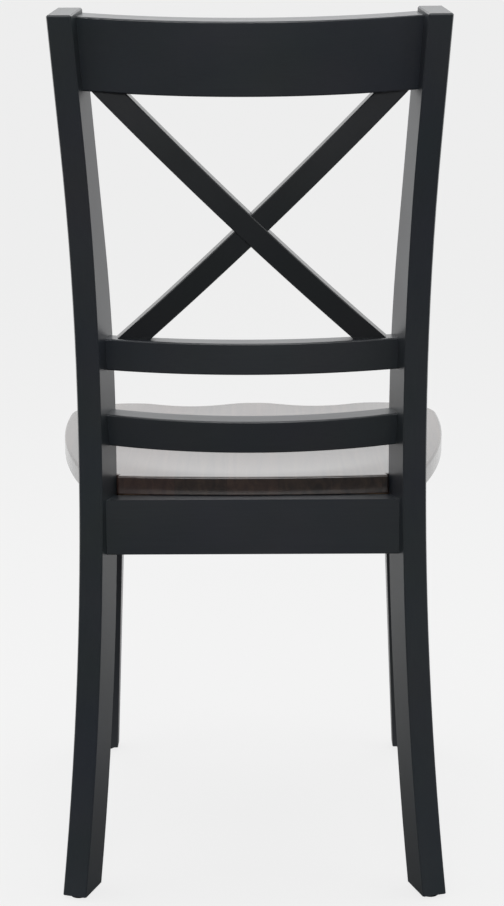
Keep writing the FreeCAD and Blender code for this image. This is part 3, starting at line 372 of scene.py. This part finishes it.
def add_floor(stage):
    """A wide pale floor with the chair's faint shadow, and the backdrop's tone elsewhere.

    Other rays than the camera's see a floor that glows beyond the chair, a painted light, and
    is dark grey before it, a painted shade.
    """
    sheet = bmesh.new()
    bmesh.ops.create_grid(sheet, x_segments=1, y_segments=1, size=FLOOR_REACH)
    mesh = bpy.data.meshes.new("floor")
    sheet.to_mesh(mesh)
    sheet.free()
    floor = bpy.data.objects.new("floor", mesh)
    bpy.context.scene.collection.objects.link(floor)
    material = new_material("pale_studio_floor_with_painted_glow_and_shade")
    tree = material.node_tree
    ray = add(tree, "ShaderNodeLightPath")
    place = add(tree, "ShaderNodeTexCoord")
    split = add(tree, "ShaderNodeSeparateXYZ", links={"Vector": place.outputs["Object"]})
    # The painted glow starts under the chair's back and is full 1.4 m ahead of its middle
    lit = add(tree, "ShaderNodeMapRange",
              {"interpolation_type": "SMOOTHSTEP", "From Min": 0.3, "From Max": -1.4,
               "To Min": 0.05, "To Max": 0.85},
              {"Value": split.outputs["Y"]})
    # Painted shade: dark grey floor before the chair; painted light: the floor glows beyond it
    dark = add(tree, "ShaderNodeBsdfDiffuse", {"Color": linear(PAINTED_SHADE_GREY)})
    painted_glow = add(tree, "ShaderNodeEmission", {"Color": linear(STUDIO_WHITE), "Strength": 1.0})
    unseen = add(tree, "ShaderNodeMixShader", links={0: lit.outputs["Result"], 1: dark.outputs["BSDF"],
                                                     2: painted_glow.outputs["Emission"]})
    matt = add(tree, "ShaderNodeBsdfDiffuse", {"Color": linear(stage.backdrop)})
    glow = add(tree, "ShaderNodeEmission", {"Color": linear(stage.backdrop), "Strength": 1.0})
    seen = add(tree, "ShaderNodeMixShader", {0: 0.9},
               {1: matt.outputs["BSDF"], 2: glow.outputs["Emission"]})
    both = add(tree, "ShaderNodeMixShader", links={0: ray.outputs["Is Camera Ray"],
                                                   1: unseen.outputs["Shader"],
                                                   2: seen.outputs["Shader"]})
    add(tree, "ShaderNodeOutputMaterial", links={"Surface": both.outputs["Shader"]})
    mesh.materials.append(material)


def set_world(scene, stage):
    """A studio that is white beyond and above the chair and dim behind the camera.

    Camera rays see the plain backdrop. Other rays see the studio, which depends only on the
    direction they leave in.
    """
    world = bpy.data.worlds.new("studio")
    world.use_nodes = True
    scene.world = world
    tree = world.node_tree
    tree.nodes.clear()
    ray = add(tree, "ShaderNodeLightPath")
    way = add(tree, "ShaderNodeTexCoord")
    split = add(tree, "ShaderNodeSeparateXYZ", links={"Vector": way.outputs["Generated"]})
    beyond = add(tree, "ShaderNodeMapRange",
                 {"interpolation_type": "SMOOTHSTEP", "From Min": 0.35, "From Max": -0.55,
                  "To Min": 0.06, "To Max": 1.0},
                 {"Value": split.outputs["Y"]})
    above = add(tree, "ShaderNodeMapRange",
                {"interpolation_type": "SMOOTHSTEP", "From Min": 0.35, "From Max": 0.95,
                 "To Min": 0.0, "To Max": 0.9},
                {"Value": split.outputs["Z"]})
    studio = add(tree, "ShaderNodeMath", {"operation": "MAXIMUM"},
                 {0: beyond.outputs["Result"], 1: above.outputs["Result"]})
    unseen = add(tree, "ShaderNodeBackground", {"Color": linear(STUDIO_WHITE)},
                 {"Strength": studio.outputs["Value"]})
    seen = add(tree, "ShaderNodeBackground", {"Color": linear(stage.backdrop), "Strength": 1.0})
    both = add(tree, "ShaderNodeMixShader", links={0: ray.outputs["Is Camera Ray"],
                                                   1: unseen.outputs["Background"],
                                                   2: seen.outputs["Background"]})
    add(tree, "ShaderNodeOutputWorld", links={"Surface": both.outputs["Shader"]})


def add_softbox(name, place, size, power):
    """A rectangular soft light that faces the chair's middle."""
    lamp = bpy.data.lights.new(name, "AREA")
    lamp.shape = "RECTANGLE"
    lamp.size, lamp.size_y = size
    lamp.energy = power
    box = bpy.data.objects.new(name, lamp)
    box.location = place
    box.rotation_euler = (CHAIR_MIDDLE - Vector(place)).to_track_quat("-Z", "Y").to_euler()
    bpy.context.scene.collection.objects.link(box)


def add_camera(scene, stage):
    """The camera behind the chair, above the seat and looking slightly down."""
    data = bpy.data.cameras.new("camera")
    data.sensor_fit = "VERTICAL"
    data.sensor_height = SENSOR_HEIGHT
    data.lens = stage.lens
    camera = bpy.data.objects.new("camera", data)
    turn = (Matrix.Rotation(math.pi + stage.yaw, 4, "Z")
            @ Matrix.Rotation(math.pi / 2 - stage.pitch, 4, "X")
            @ Matrix.Rotation(stage.roll, 4, "Z"))
    stand = Matrix.Translation((stage.camera_side, stage.camera_back, stage.camera_height))
    camera.matrix_world = stand @ turn
    scene.collection.objects.link(camera)
    scene.camera = camera


# Sizes and colours

def colour_property(label, description, default):
    """A colour setting whose default is written as sRGB hex."""
    channels = [int(default[place:place + 2], 16) / 255 for place in (0, 2, 4)]
    return FloatVectorProperty(name=label, description=description, default=channels, size=3,
                               subtype="COLOR_GAMMA", min=0.0, max=1.0)


class PaintSettings(bpy.types.PropertyGroup):
    dark: colour_property("Dark", "Darkest tone of the black lacquer", "22262F")
    light: colour_property("Light", "Lightest tone of the black lacquer", "2E3539")
    roughness: FloatProperty(name="Roughness", description="Satin of the lacquer", default=0.42,
                             min=0.0, max=1.0)
    coat: FloatProperty(name="Clear coat", description="Weight of the clear top coat", default=0.8,
                        min=0.0, max=1.0)
    # Painted shade: the slats get a darker copy of the same lacquer
    slat_painted_shade: FloatProperty(name="Slat film",
                             description="Tone of the slats against the rest of the frame",
                             default=0.45, min=0.1, max=1.0)
    grain_depth: FloatProperty(name="Grain depth",
                               description="Height of the grain under the lacquer, in mm",
                               default=0.06, min=0.0, max=1.0)


class SeatSettings(bpy.types.PropertyGroup):
    dark: colour_property("Dark", "Darkest grain of the stained seat", "1F1815")
    light: colour_property("Light", "Lightest grain of the stained seat", "46372F")
    red: colour_property("Red", "Warm tone that some staves lean to", "3E2622")
    stave_width: FloatProperty(name="Stave width", description="Width of each glued stave", default=0.058,
                               min=0.02, max=0.2, unit="LENGTH")
    coat_roughness: FloatProperty(name="Coat roughness", description="Softness of the seat's reflections",
                                  default=0.16, min=0.0, max=1.0)
    step: FloatProperty(name="Mesh step",
                        description="Size of the faces on the seat's top", default=0.006,
                        min=0.002, max=0.03, unit="LENGTH")
    top_round: FloatProperty(name="Top rounding",
                             description="Rounding of the upper edge", default=0.0025,
                             min=0.0005, max=0.008, unit="LENGTH")
    bottom_round: FloatProperty(name="Bottom rounding",
                                description="Rounding of the lower edge", default=0.0015,
                                min=0.0005, max=0.008, unit="LENGTH")
    fairing: FloatProperty(name="Fairing",
                           description="How softly the hollows' rims are sanded", default=0.0008,
                           min=0.0001, max=0.005, unit="LENGTH")
    scoop_back: FloatProperty(name="Scoop from front",
                              description="Middle of the hollow behind the front edge",
                              default=0.266, unit="LENGTH")
    scoop_width: FloatProperty(name="Scoop width", description="Hollow, side to side", default=0.350,
                               unit="LENGTH")
    scoop_length: FloatProperty(name="Scoop length", description="Hollow, front to back", default=0.300,
                                unit="LENGTH")
    scoop_depth: FloatProperty(name="Scoop depth", description="Depth of the hollow", default=0.007,
                               unit="LENGTH")
    thigh_reach: FloatProperty(name="Thigh reach",
                               description="Thigh hollow's middle from the seat's middle",
                               default=0.080, unit="LENGTH")
    thigh_back: FloatProperty(name="Thigh from front",
                              description="Middle of the thigh hollows behind the front edge",
                              default=0.041, unit="LENGTH")
    thigh_width: FloatProperty(name="Thigh width",
                               description="Thigh hollow, side to side", default=0.120,
                               unit="LENGTH")
    thigh_length: FloatProperty(name="Thigh length",
                                description="Thigh hollow, front to back", default=0.330,
                                unit="LENGTH")
    thigh_depth: FloatProperty(name="Thigh depth",
                               description="Depth of each thigh hollow", default=0.0045,
                               unit="LENGTH")


class FittingSettings(bpy.types.PropertyGroup):
    wood: colour_property("Wood", "Light tone of the raw corner blocks", "7A6248")
    wood_dark: colour_property("Wood flecks", "Dark flecks of the raw corner blocks", "5C4732")
    steel: colour_property("Steel", "Light tone of the zinc plate", "C6C9CC")
    steel_dark: colour_property("Steel shade", "Dark tone of the zinc plate", "989DA3")
    plastic: colour_property("Plastic", "Light tone of the glides under the feet", "1E1F21")
    plastic_dark: colour_property("Plastic shade", "Dark tone of the glides", "101113")


class StageSettings(bpy.types.PropertyGroup):
    backdrop: colour_property("Backdrop", "Pale floor and background", "F1F1F1")
    camera_height: FloatProperty(name="Camera height", description="Above the floor", default=0.9992,
                                 unit="LENGTH")
    camera_back: FloatProperty(name="Camera distance", description="Behind the middle of the chair",
                               default=2.4436, unit="LENGTH")
    camera_side: FloatProperty(name="Camera side", description="To the sitter's left", default=-0.00973,
                               unit="LENGTH")
    pitch: FloatProperty(name="Pitch", description="How far the camera looks down", default=0.2192,
                         subtype="ANGLE")
    yaw: FloatProperty(name="Yaw",
                       description="How far the camera turns from straight ahead", default=0.0045,
                       subtype="ANGLE")
    roll: FloatProperty(name="Roll",
                        description="How far the camera leans", default=-0.0054, subtype="ANGLE")
    lens: FloatProperty(name="Lens",
                        description="Focal length on a 36 mm tall sensor", default=83.41, min=1.0)


# Operators

class CHAIR_OT_frame(bpy.types.Operator):
    """Lacquers the posts, rails, slats, aprons and front legs"""
    bl_idname = "chair.lacquer_frame"
    bl_label = "Lacquer the Frame"

    def execute(self, context):
        paint = context.scene.chair_paint
        for turn, names in GRAIN.items():
            # The slats' darker copy of the lacquer is painted shade
            painted_shade_scale = paint.slat_painted_shade if turn in SLAT_GRAIN else 1.0
            dress(names, make_lacquer(turn, paint, painted_shade_scale))
        return {"FINISHED"}


class CHAIR_OT_seat(bpy.types.Operator):
    """Makes the seat with its hollows sanded fair, and stains it"""
    bl_idname = "chair.make_seat"
    bl_label = "Make the Seat"

    def execute(self, context):
        settings = context.scene.chair_seat
        low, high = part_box("seat_panel")
        # The level section is taken between the roundings, where the panel is at its full width
        shape = outline_of("seat_panel", low[2] + 5 * MM)
        for vert in shape.verts:
            vert.co.z = low[2]
        bmesh.ops.contextual_create(shape, geom=shape.edges)
        raised = bmesh.ops.extrude_face_region(shape, geom=shape.faces)["geom"]
        bmesh.ops.translate(shape, vec=(0.0, 0.0, high[2] - low[2]),
                            verts=[item for item in raised if isinstance(item, bmesh.types.BMVert)])
        bmesh.ops.recalc_face_normals(shape, faces=shape.faces)
        for height, rounding in ((high[2], settings.top_round), (low[2], settings.bottom_round)):
            bmesh.ops.bevel(shape, geom=level_edges(shape, height), offset=rounding, offset_type="OFFSET",
                            segments=6, profile=0.5, affect="EDGES", material=-1)
        # Loops 1 mm beside the roundings keep the wide faces flat
        upper_loop = high[2] - settings.top_round - MM
        lower_loop = low[2] + settings.bottom_round + MM
        for height in (upper_loop, lower_loop):
            cut_across(shape, (0.0, 0.0, height), (0.0, 0.0, 1.0))
        top = [face for face in shape.faces if face.calc_center_median().z > high[2] - SAME_PLACE]
        bmesh.ops.inset_region(shape, faces=top, thickness=MM, use_even_offset=True)
        # A grid of cuts through the whole panel lets its top and upper edge follow the hollows
        for axis, normal in ((0, (1.0, 0.0, 0.0)), (1, (0.0, 1.0, 0.0))):
            for step in range(1, math.ceil((high[axis] - low[axis]) / settings.step)):
                place = [0.0, 0.0, 0.0]
                place[axis] = low[axis] + step * settings.step
                cut_across(shape, place, normal)
        front = low[1]
        hollows = [(0.0, front + settings.scoop_back, settings.scoop_width, settings.scoop_length,
                    settings.scoop_depth)]
        hollows += [(side * settings.thigh_reach, front + settings.thigh_back, settings.thigh_width,
                     settings.thigh_length, settings.thigh_depth) for side in (1, -1)]
        for vert in shape.verts:
            if vert.co.z > upper_loop - 0.5 * MM:
                vert.co.z -= hollow_depth(vert.co, hollows, settings.fairing)
        for face in shape.faces:
            face.smooth = True
        mesh = bpy.data.meshes.new("seat")
        shape.to_mesh(mesh)
        shape.free()
        add_piece("seat", mesh, make_stained_seat(settings), "seat_wood", "seat_panel")
        return {"FINISHED"}


class CHAIR_OT_fittings(bpy.types.Operator):
    """Finishes the corner blocks, dowels, bolts, screws and glides"""
    bl_idname = "chair.finish_fittings"
    bl_label = "Finish the Fittings"

    def execute(self, context):
        settings = context.scene.chair_fittings
        dress(RAW_WOOD, make_raw_wood(settings))
        dress(STEEL, make_zinc_steel(settings))
        dress(("leg_glides",), make_plastic(settings))
        return {"FINISHED"}


class CHAIR_OT_stage(bpy.types.Operator):
    """Sets the pale floor, the soft lights and the camera behind the chair"""
    bl_idname = "chair.set_stage"
    bl_label = "Set the Stage"

    def execute(self, context):
        stage = context.scene.chair_stage
        add_floor(stage)
        set_world(context.scene, stage)
        for name, place, size, power in SOFTBOXES:
            add_softbox(name, place, size, power)
        add_camera(context.scene, stage)
        context.scene.view_settings.view_transform = "Standard"
        return {"FINISHED"}


class CHAIR_PT_panel(bpy.types.Panel):
    """Lists the steps that finish the chair"""
    bl_idname = "CHAIR_PT_panel"
    bl_label = "Cross Back Chair"
    bl_space_type = "VIEW_3D"
    bl_region_type = "UI"
    bl_category = "Chair"

    def draw(self, context):
        for operator in OPERATORS:
            self.layout.operator(operator.bl_idname)


SETTINGS = {
    "chair_paint": PaintSettings,
    "chair_seat": SeatSettings,
    "chair_fittings": FittingSettings,
    "chair_stage": StageSettings,
}
OPERATORS = (CHAIR_OT_frame, CHAIR_OT_seat, CHAIR_OT_fittings, CHAIR_OT_stage)


def register():
    for kind in (*SETTINGS.values(), *OPERATORS, CHAIR_PT_panel):
        bpy.utils.register_class(kind)
    for name, kind in SETTINGS.items():
        setattr(bpy.types.Scene, name, PointerProperty(type=kind))


def unregister():
    for name in SETTINGS:
        delattr(bpy.types.Scene, name)
    for kind in (CHAIR_PT_panel, *reversed(OPERATORS), *reversed(SETTINGS.values())):
        bpy.utils.unregister_class(kind)


def main():
    """Runs the steps in order."""
    register()
    bpy.ops.chair.lacquer_frame()
    bpy.ops.chair.make_seat()
    bpy.ops.chair.finish_fittings()
    bpy.ops.chair.set_stage()


if __name__ == "__main__":
    main()
